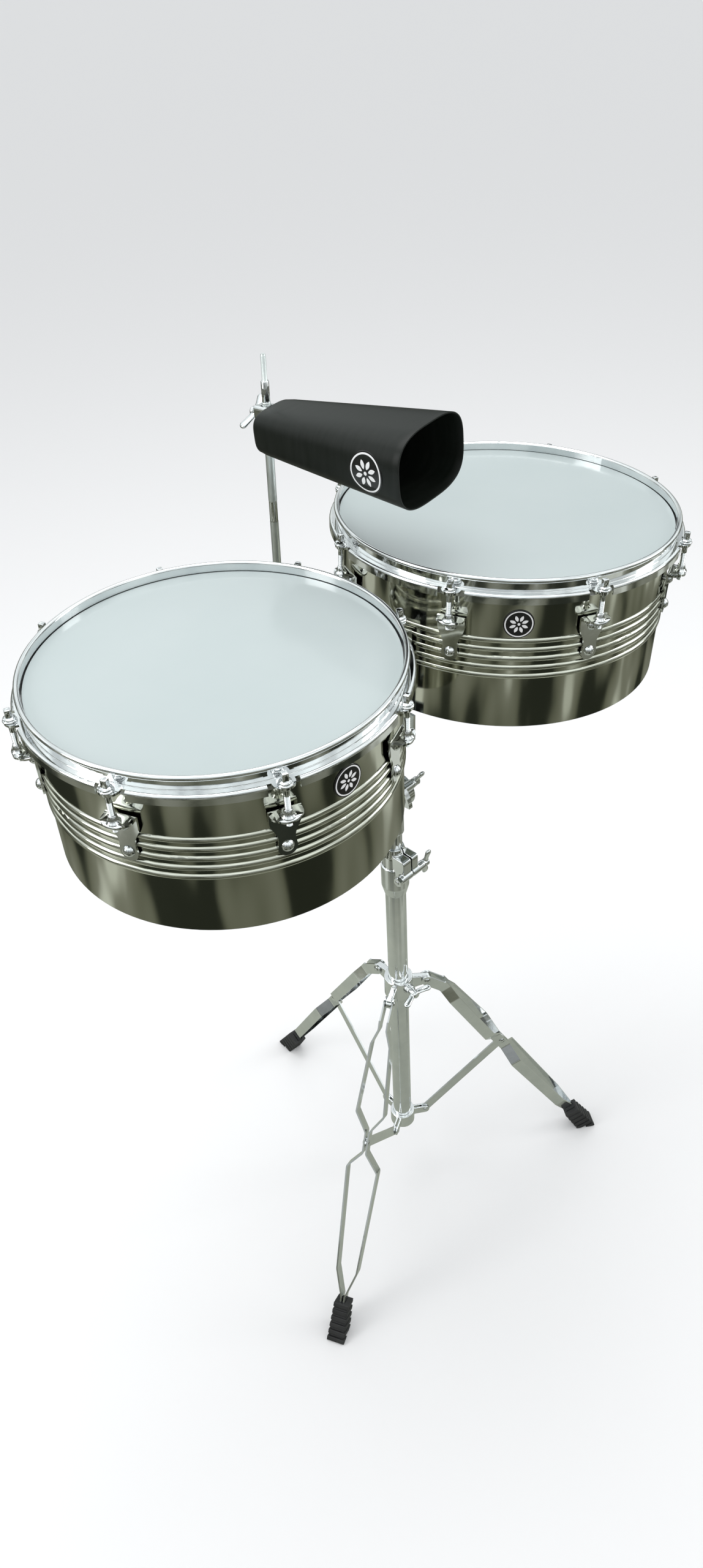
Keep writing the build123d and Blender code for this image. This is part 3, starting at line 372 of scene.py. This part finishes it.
def wing_nut(node, joint):
    """A cast wing bolt, as large as the CAD's: a turned hub and two spoon-shaped ears on a threaded shaft."""
    points = [v.co.copy() for v in frame["nodes"][node].data.vertices]
    spot, axis = Vector(JOINTS[joint]["pos_m"]), Vector(JOINTS[joint]["axis"]).normalized()

    def measure():
        """Every point as a distance along the axis and an offset from it, then the shaft's and the ears'."""
        found = []
        for point in points:
            along = (point - spot).dot(axis)
            found.append((along, (point - spot) - axis * along))
        return (found, [along for along, out in found if out.length < SHAFT_OUT],
                [(along, out) for along, out in found if out.length > EAR_OUT])

    parts, shaft, ears = measure()
    if sum(along for along, _ in ears) / len(ears) < sum(shaft) / len(shaft):
        axis = -axis
        parts, shaft, ears = measure()
    reach, across = max(((out.length, out) for _, out in ears), key=lambda pair: pair[0])
    across = across.normalized()
    base = min(along for along, out in parts if 0.0042 < out.length < 0.0058)
    top = max(along for along, _ in parts)
    upright = Matrix((across, axis.cross(across), axis)).transposed().to_4x4()
    foot = Matrix.Translation(spot + axis * base) @ upright
    height = (top - base) / MM
    bm = bmesh.new()
    barrel = min(height * 0.72, 11.0)
    lathe(bm, foot, [(5.3, 0), (5.5, 0.8), (4.9, 1.6), (4.7, barrel * 0.6), (4.9, barrel * 0.85),
                     (3.6, barrel)])
    steps = 9
    for side in (1, -1):
        for i in range(steps):
            share = i / (steps - 1)
            out = 2.0 + (reach / MM - 6.4) * share
            rise = height * 0.36 + (height - 5.0 - height * 0.36) * share ** 1.3
            lean = frame_at(0, 0, 0, ("Y", -side * (50 - 25 * share)))
            radii = (4.2 * MM, (2.5 - 0.5 * sin(pi * share)) * MM, (3.6 + 1.1 * share) * MM)
            ellipsoid(bm, foot @ (Vector((side * out, 0, rise)) * MM), radii, upright @ lean)
    mesh = melted(bm, node, 0.5, 5)
    bm = bmesh.new()
    bm.from_mesh(mesh)
    bpy.data.meshes.remove(mesh)
    tip = (min(shaft) - base) / MM
    thread = [(2.0, tip), (2.6, tip + 0.5)]
    while thread[-1][1] < -0.8:
        z = thread[-1][1]
        thread += [(3.0, z + 0.45), (2.65, z + 0.9)]
    lathe(bm, foot, thread + [(2.6, 0.5)])
    piece(node + "_cast", bm, [node], 60)


for wing_node, wing_joint in {
        "hub_wing_bolt": "hub_knob_turn", "height_wing_bolt": "height_knob_turn",
        "tilt_wing_bolt": "tilt_knob_turn", "post_wing_bolt": "post_knob_turn",
        "bell_wing_bolt": "bell_knob_turn", "drum13_mount_bolt": "drum13_knob_turn",
        "drum14_mount_bolt": "drum14_knob_turn"}.items():
    wing_nut(wing_node, wing_joint)
for casting in ("tilter_body", "height_clamp", "leg_hub", "lower_collar", "post_clamp", "bell_clamp"):
    cast(casting)
for leg in ("front", "left", "right"):
    cast(leg + "_leg_foot")


# ---------------------------------------------------------------- tuning lugs
def smoothstep(low, high, x):
    """Eases from 0 to 1 as x goes from low to high."""
    share = min(max((x - low) / (high - low), 0.0), 1.0)
    return share * share * (3 - 2 * share)


def lug_bracket(bm, where, radius):
    """A pressed bracket: a waisted plate up the shell, bent out into a dished, round-fronted tab."""
    x0, top, bottom, front, bend = radius + 2.1, -45.3, -96.0, radius + 20.0, 3.2
    sheet = 2.0
    turn = [(bend * (1 - cos(a)), -bend * (1 - sin(a))) for a in [pi / 2 * i / 5 for i in range(6)]]
    plate = [(0.0, bottom + (top - bend - bottom) * (1 - cos(pi / 2 * i / 26))) for i in range(26)]
    middle = [(x0 + dx, z) for dx, z in plate]
    middle += [(x0 + dx, top + dz) for dx, dz in turn]
    tab = [middle[-1][0] + (front - middle[-1][0]) * sin(pi / 2 * i / 18) for i in range(1, 19)]
    middle += [(x, top) for x in tab]
    rows = []
    for x, z in middle:
        if z < top - bend:
            low = max(z - bottom, 0.0)
            end = 8.6 * (1 - max(1 - low / 8.6, 0) ** 2.0) ** 0.5
            half = min(end, 8.6) - 1.1 * smoothstep(-88, -78, z) + 6.4 * smoothstep(-77, -58, z)
            half = max(half, 0.15)
        else:
            ahead = max(x - (front - 12.5), 0.0) / 12.5
            half = max(14.0 * (1 - ahead ** 2.5) ** (1 / 2.5), 0.15)
        on_tab = smoothstep(x0 + 1, x0 + bend + 2, x)
        droop = 2.2 * max(x - front + 4.0, 0.0) ** 2 / 16
        row = []
        for i in range(13):
            y = half * (-1 + i / 6)
            curl = 1.5 * on_tab * max(abs(y) - 9.5, 0.0) ** 2 / 20
            lip = 0.7 * (1 - on_tab) * max(abs(y) / 14 - 0.55, 0) ** 2
            row.append((x + lip, y, z - droop - curl))
        rows.append(row)
    normals = []
    for i, (x, z) in enumerate(middle):
        before, after = middle[max(i - 1, 0)], middle[min(i + 1, len(middle) - 1)]
        dx, dz = after[0] - before[0], after[1] - before[1]
        normals.append((dz / hypot(dx, dz), -dx / hypot(dx, dz)))
    rings = []
    for row, (nx, nz) in zip(rows, normals):
        back = [(x, y, z) for x, y, z in row]
        face = [(x + nx * sheet, y, z + nz * sheet) for x, y, z in row]
        rings.append(back + list(reversed(face)))
    loft(bm, where, rings)
    boss = where @ frame_at(radius + ROD_OFFSET, 0, top)
    lathe(bm, boss, [(6.4, -0.6), (6.2, 0.2), (5.0, 0.9), (4.2, 3.6), (3.7, 6.6), (3.3, 7.0)])


def tension_rod(bm, where, radius):
    """A tuning rod: a square drive head on a collar, a sleeve in the hoop's ear, a thread into the lug."""
    at_rod = where @ frame_at(radius + ROD_OFFSET, 0, 0)
    head, corner = 2.85, 1.0
    square = [(sx * (head - corner) + corner * cos(a + b), sy * (head - corner) + corner * sin(a + b))
              for sx, sy, a in ((1, 1, 0), (-1, 1, pi / 2), (-1, -1, pi), (1, -1, 3 * pi / 2))
              for b in (0, pi / 6, pi / 3, pi / 2)]
    loft(bm, at_rod, [[(x * k, y * k, z) for x, y in square] for k, z in (
        (1.0, -10.4), (1.0, -3.6), (0.93, -3.0), (0.6, -2.7))])
    lathe(bm, at_rod, [(3.0, -12.6), (5.2, -12.4), (5.5, -11.9), (5.4, -11.2), (4.2, -10.5), (3.4, -10.2)])
    thread = [(2.0, -56.0), (2.3, -55.5)]
    while thread[-1][1] < -26.0:
        z = thread[-1][1]
        thread += [(2.75, z + 0.45), (2.4, z + 0.9)]
    sleeve = [(2.7, -25.0), (2.75, -19.5), (4.3, -18.4), (4.6, -16.9), (2.75, -16.6), (2.75, -12.0)]
    lathe(bm, at_rod, thread + sleeve, 20)


def rod_washer(bm, where, radius):
    """The washer between a rod's collar and the hoop's ear."""
    at_rod = where @ frame_at(radius + ROD_OFFSET, 0, 0)
    lathe(bm, at_rod, [(5.8, -14.5), (6.3, -14.2), (6.3, -13.4), (5.7, -12.8), (3.2, -12.6)])


LUG_PARTS = {
    "lug_brackets": (lug_bracket, 50),
    "tension_rods": (tension_rod, 40),
    "rod_washers": (rod_washer, 50),
}
for drum, shell_radius in SHELL_RADIUS.items():
    for node_end, (make, sharp_angle) in LUG_PARTS.items():
        lugs = bmesh.new()
        for lug in range(LUGS):
            make(lugs, DRUM[drum] @ frame_at(0, 0, 0, ("Z", LUG_START + 360.0 / LUGS * lug)), shell_radius)
        piece(f"{drum}_{node_end}_detail", lugs, [f"{drum}_{node_end}"], sharp_angle)


# ---------------------------------------------------------------- badges
PETALS = 8
BADGE_INK = badge_white()


def badge(node, where, radius, wrap):
    """A thin black disc with a white ring and a plain rosette, bent to a wall of the wrap's radius."""
    bm = bmesh.new()
    here = frame_at()
    lathe(bm, here, [(radius - 0.2, 0.0), (radius, 0.3), (radius, 0.8), (radius - 0.4, 1.1),
                     (radius * 0.5, 1.12), (0.3, 1.12)], 64)
    band = [(radius * 0.84, 1.1), (radius * 0.85, 1.19), (radius * 0.91, 1.19), (radius * 0.92, 1.1)]
    loft(bm, here, [ring(r, z, 64) for r, z in band], False, False, material=1)
    for i in range(PETALS):
        petal = frame_at(0, 0, 0, ("Z", 22.5 + 360 / PETALS * i))
        half = [(0.20 + 0.44 * t, 0.105 * sin(pi * t) ** 0.8) for t in [k / 8 for k in range(1, 8)]]
        edge = [(0.20, 0.0)] + half + [(0.64, 0.0)] + [(x, -y) for x, y in reversed(half)]
        loft(bm, petal, [[(x * radius * k + (1 - k) * 0.42 * radius, y * radius * k, z) for x, y in edge]
                         for k, z in ((1.0, 1.08), (1.0, 1.17), (0.96, 1.20))], False, True, material=1)
    lathe(bm, here, [(radius * 0.09, 1.08), (radius * 0.09, 1.17), (radius * 0.07, 1.2)], 20, material=1)
    for vert in bm.verts:
        vert.co.z -= vert.co.y ** 2 / (2 * wrap * MM)
        vert.co = where @ vert.co
    piece(node + "_face", bm, [node], 30, BADGE_INK)


for drum, shell_radius in SHELL_RADIUS.items():
    outwards = frame_at(0, 0, 0, ("Z", BADGE_AT[drum]))
    spot = outwards @ frame_at(shell_radius + 0.02, 0, -BADGE_DEPTH[drum], ("Y", 90))
    badge(drum + "_badge", DRUM[drum] @ spot, BADGE_RADIUS, shell_radius)


# ---------------------------------------------------------------- cowbell and post
BELL_LENGTH, BELL_WALL = 195.0, 1.6
BELL_END = (31.0, 21.5, 3.6)        # half width, half height and squareness of the closed end
BELL_MOUTH = (53.5, 37.5, 3.1)
BELL_YAW, BELL_PITCH, BELL_ROLL = -82.8, 2.0, 3.7
BELL_PLACE = (-10.5, -6.0, 14.8)
CLAMP_HEIGHT = 320.0
BELL_BADGE_FROM_END, BELL_BADGE_WRAP = 155.0, 62.0


def bell_frame():
    """The bell clamp's frame: X to the bell's side, Z along the bell."""
    yaw, pitch = radians(BELL_YAW), radians(BELL_PITCH)
    along = Vector((cos(yaw) * cos(pitch), sin(yaw) * cos(pitch), sin(pitch)))
    side = Vector((-sin(yaw), cos(yaw), 0))
    basis = Matrix((side, along.cross(side), along)).transposed().to_4x4()
    return POST @ frame_at(0, POST_Y, CLAMP_HEIGHT) @ basis


def bell_ring(share, shrink, z, count=96):
    """One cross-section of the bell, a rounded oblong that bows outwards."""
    a, b, power = (low + (high - low) * share for low, high in zip(BELL_END, BELL_MOUTH))
    a, b = a - shrink, b - shrink
    points = []
    for i in range(count):
        angle = tau * i / count
        c, s = cos(angle), sin(angle)
        x = a * abs(c) ** (2 / power) * (1 if c > 0 else -1)
        y = b * abs(s) ** (2 / power) * (1 if s > 0 else -1)
        points.append((x, y, z))
    return points


def cowbell():
    """A folded bell, hollow and open at its mouth, with its clamp tab and badge."""
    bm = bmesh.new()
    where = bell_frame() @ frame_at(*BELL_PLACE)
    turned = where @ frame_at(0, 0, 0, ("Z", BELL_ROLL))
    rounding = 6.0
    rings = [bell_ring(0, rounding * 1.6, 0), bell_ring(0, rounding, 0.0)]
    for i in range(1, 8):
        a = pi / 2 * i / 7
        rings.append(bell_ring(0, rounding * (1 - sin(a)), rounding * (1 - cos(a))))
    for i in range(1, 25):
        z = rounding + (BELL_LENGTH - 0.6 - rounding) * i / 24
        rings.append(bell_ring(z / BELL_LENGTH, 0, z))
    for shrink, z in ((0.25, BELL_LENGTH - 0.1), (0.8, BELL_LENGTH), (1.4, BELL_LENGTH - 0.1)):
        rings.append(bell_ring(1, shrink, z))
    for i in range(24, -1, -1):
        z = BELL_WALL + (BELL_LENGTH - 0.7 - BELL_WALL) * i / 24
        rings.append(bell_ring(z / BELL_LENGTH, BELL_WALL + rounding * max(1 - z / 12, 0) ** 2 * 0.5, z))
    loft(bm, turned, rings)
    tab = where @ frame_at(-BELL_PLACE[0], -BELL_PLACE[1], 0)
    corner = [(sx * 7.5 + 5.5 * cos(a + b), 2 + sy * 4.5 + 5.5 * sin(a + b))
              for sx, sy, a in ((1, 1, 0), (-1, 1, pi / 2), (-1, -1, pi), (1, -1, 3 * pi / 2))
              for b in (0, pi / 6, pi / 3, pi / 2)]
    loft(bm, tab, [[(x * k, 2 + (y - 2) * k, z) for x, y in corner] for k, z in (
        (0.94, -3.0), (1.0, -2.5), (1.0, -0.6), (1.06, 0.4))])
    piece("cowbell_folded", bm, ["cowbell"], 50)
    near, far = BELL_END[0], BELL_MOUTH[0]
    share = BELL_BADGE_FROM_END / BELL_LENGTH
    slope = (far - near) / BELL_LENGTH
    flat = turned @ frame_at(-near - (far - near) * share + 0.35, 0, BELL_BADGE_FROM_END) @ frame_at(
        0, 0, 0, ("Y", -degrees(atan2(slope, 1)) - 90))
    badge("cowbell_badge", flat, BELL_BADGE_RADIUS, BELL_BADGE_WRAP)


def knurled_post():
    """An L-shaped rod with a diamond knurl, a plain band, a plain top and a thin tip."""
    start, bend, radius = 22.0, 25.0, 4.75
    knurl_top, smooth_top, tip_top, band = 332.0, 353.5, 379.5, (203.5, 226.5)
    step, count, cut_depth = 0.55, 60, 0.34
    level = POST_Y - bend - start
    curve = bend * pi / 2
    length = level + curve + knurl_top - bend

    def station(s):
        """Middle, and the frame's second axis, at a distance along the rod. The first axis is X."""
        if s < level:
            return (start + s, 0.0), (0.0, 1.0)
        if s < level + curve:
            a = (s - level) / bend
            return (POST_Y - bend + bend * sin(a), bend * (1 - cos(a))), (-sin(a), cos(a))
        return (POST_Y, bend + s - level - curve), (-1.0, 0.0)

    rings = []
    steps = int(length / step)
    for i in range(steps + 1):
        s = length * i / steps
        (y, z), (uy, uz) = station(s)
        height = s - level - curve + bend
        plain = s > level + curve and band[0] < height < band[1]
        fade = min(1.0, s / 1.5, (length - s) / 1.0)
        edge = radius * min(1.0, 0.85 + s / 6, 0.9 + (length - s) / 6)
        row = []
        for k in range(count):
            a = tau * k / count
            weave = max(abs(sin(7.5 * a + s * 1.6)), abs(sin(7.5 * a - s * 1.6))) ** 1.5
            r = edge - (0.3 if plain else cut_depth * fade * weave)
            row.append((r * cos(a), y + r * sin(a) * uy, z + r * sin(a) * uz))
        rings.append(row)
    bm = bmesh.new()
    loft(bm, POST, rings)
    to_post = POST.inverted()
    for face in bm.faces:
        height = (to_post @ face.calc_center_median()).z / MM
        face.material_index = 0 if band[0] < height < band[1] else 1
    upright = POST @ frame_at(0, POST_Y, 0)
    lathe(bm, upright, [(3.9, knurl_top - 1), (4.0, knurl_top), (4.2, knurl_top + 0.6), (4.2, smooth_top - 0.8),
                        (3.6, smooth_top), (2.9, smooth_top)], 40)
    thread = [(2.7, smooth_top - 0.5)]
    while thread[-1][1] < tip_top - 1.6:
        z = thread[-1][1]
        thread += [(2.8, z + 0.35), (2.55, z + 0.7)]
    lathe(bm, upright, thread + [(2.2, tip_top)], 24, material=1)
    piece("cowbell_post_knurled", bm, ["cowbell_post"], 70, knurled_steel())


cowbell()
knurled_post()


# ---------------------------------------------------------------- camera
def make_camera():
    """Stands beyond the smaller drum on the player's side, and looks down across the set."""
    pole = Vector(JOINTS["mast_swivel"]["pos_m"])
    data = bpy.data.cameras.new("camera")
    data.lens = 25.26
    data.sensor_width = 36.0
    camera = bpy.data.objects.new("camera", data)
    bpy.context.scene.collection.objects.link(camera)
    heading, pitch, roll = radians(-43.28), radians(38.0), radians(-3.455)
    turn = Euler((pi / 2 - pitch, 0, heading)).to_matrix() @ Matrix.Rotation(roll, 3, "Z")
    spot = Vector((pole.x - 0.6973, pole.y - 0.6740, 1.4749))
    camera.matrix_world = Matrix.Translation(spot) @ turn.to_4x4()
    bpy.context.scene.camera = camera


# ---------------------------------------------------------------- floor and light
def make_floor():
    """A pale floor that polished parts reflect darker: mid grey near the stand, patchy further out."""
    bpy.ops.mesh.primitive_circle_add(vertices=96, radius=60.0, fill_type="NGON", location=(0, 0, -0.0005))
    floor = bpy.context.object
    floor.name = "floor"
    material, tree, shader = node_tree("pale_floor")
    shader.inputs["Base Color"].default_value = (0.86, 0.86, 0.86, 1)
    shader.inputs["Roughness"].default_value = 0.9
    room = noise(tree, place(tree), 1.3, 2.0, 0.45)
    dim = add(tree, "ShaderNodeBsdfDiffuse", Color=ramp(tree, room, [
        (0.42, (0.022, 0.025, 0.018)), (0.47, (0.13, 0.135, 0.10)), (0.56, (0.20, 0.205, 0.165)),
        (0.60, (0.50, 0.52, 0.46))]))
    near = add(tree, "ShaderNodeBsdfDiffuse", Color=(0.36, 0.38, 0.32, 1))
    reach = add(tree, "ShaderNodeVectorMath", i0=place(tree))
    reach.operation = "LENGTH"
    far = ramp(tree, reach.outputs["Value"], [(0.42, 0.0), (0.85, 1.0)])
    seen = add(tree, "ShaderNodeMixShader", i0=far, i1=near.outputs[0], i2=dim.outputs[0])
    ray = tree.nodes.new("ShaderNodeLightPath")
    glossy = ray.outputs["Is Glossy Ray"]
    mix = add(tree, "ShaderNodeMixShader", i0=glossy, i1=shader.outputs[0], i2=seen.outputs[0])
    tree.links.new(mix.outputs[0], tree.nodes["Material Output"].inputs["Surface"])
    floor.data.materials.append(material)


def softbox(name, spot, aim, size, power):
    """A rectangular area light that faces a point."""
    data = bpy.data.lights.new(name, "AREA")
    data.shape = "RECTANGLE"
    data.size, data.size_y = size
    data.energy = power
    lamp = bpy.data.objects.new(name, data)
    lamp.location = spot
    lamp.rotation_euler = (Vector(aim) - Vector(spot)).to_track_quat("-Z", "Y").to_euler()
    bpy.context.scene.collection.objects.link(lamp)


def make_light():
    """A white surround with soft overhead and side boxes."""
    world = bpy.data.worlds.new("studio")
    bpy.context.scene.world = world
    world.use_nodes = True
    tree = world.node_tree
    back = tree.nodes["Background"]
    back.inputs[0].default_value = (0.97, 0.985, 1.0, 1)
    back.inputs[1].default_value = 0.85
    way = tree.nodes.new("ShaderNodeTexCoord").outputs["Generated"]
    height = add(tree, "ShaderNodeSeparateXYZ", Vector=way).outputs[2]
    room = noise(tree, add(tree, "ShaderNodeMapping", Vector=way, Scale=(1, 1, 0.5)).outputs[0], 3.4, 3.0)
    walls = ramp(tree, room, [
        (0.44, (0.05, 0.055, 0.05)), (0.5, (0.34, 0.36, 0.34)), (0.62, (0.72, 0.77, 0.75))])
    sky = ramp(tree, height, [(0.12, (0.0, 0.0, 0.0)), (0.5, (0.85, 0.9, 0.92))])
    colour = add(tree, "ShaderNodeMixRGB", Color1=walls, Color2=sky)
    colour.blend_type = "ADD"
    colour.inputs[0].default_value = 1.0
    dim = add(tree, "ShaderNodeBackground", Color=colour.outputs[0], Strength=0.9)
    ray = tree.nodes.new("ShaderNodeLightPath")
    glossy = ray.outputs["Is Glossy Ray"]
    mix = add(tree, "ShaderNodeMixShader", i0=glossy, i1=back.outputs[0], i2=dim.outputs[0])
    tree.links.new(mix.outputs[0], tree.nodes["World Output"].inputs["Surface"])
    softbox("overhead", (0.1, 0.5, 3.2), (0, 0, 0.7), (2.4, 1.6), 30)
    softbox("left_side", (-2.4, 1.0, 2.0), (0, 0, 0.8), (0.9, 2.0), 20)
    softbox("right_side", (2.2, -1.6, 1.9), (0, 0, 0.8), (0.7, 1.8), 14)


bpy.context.scene.view_settings.view_transform = "Standard"
make_camera()
make_floor()
make_light()
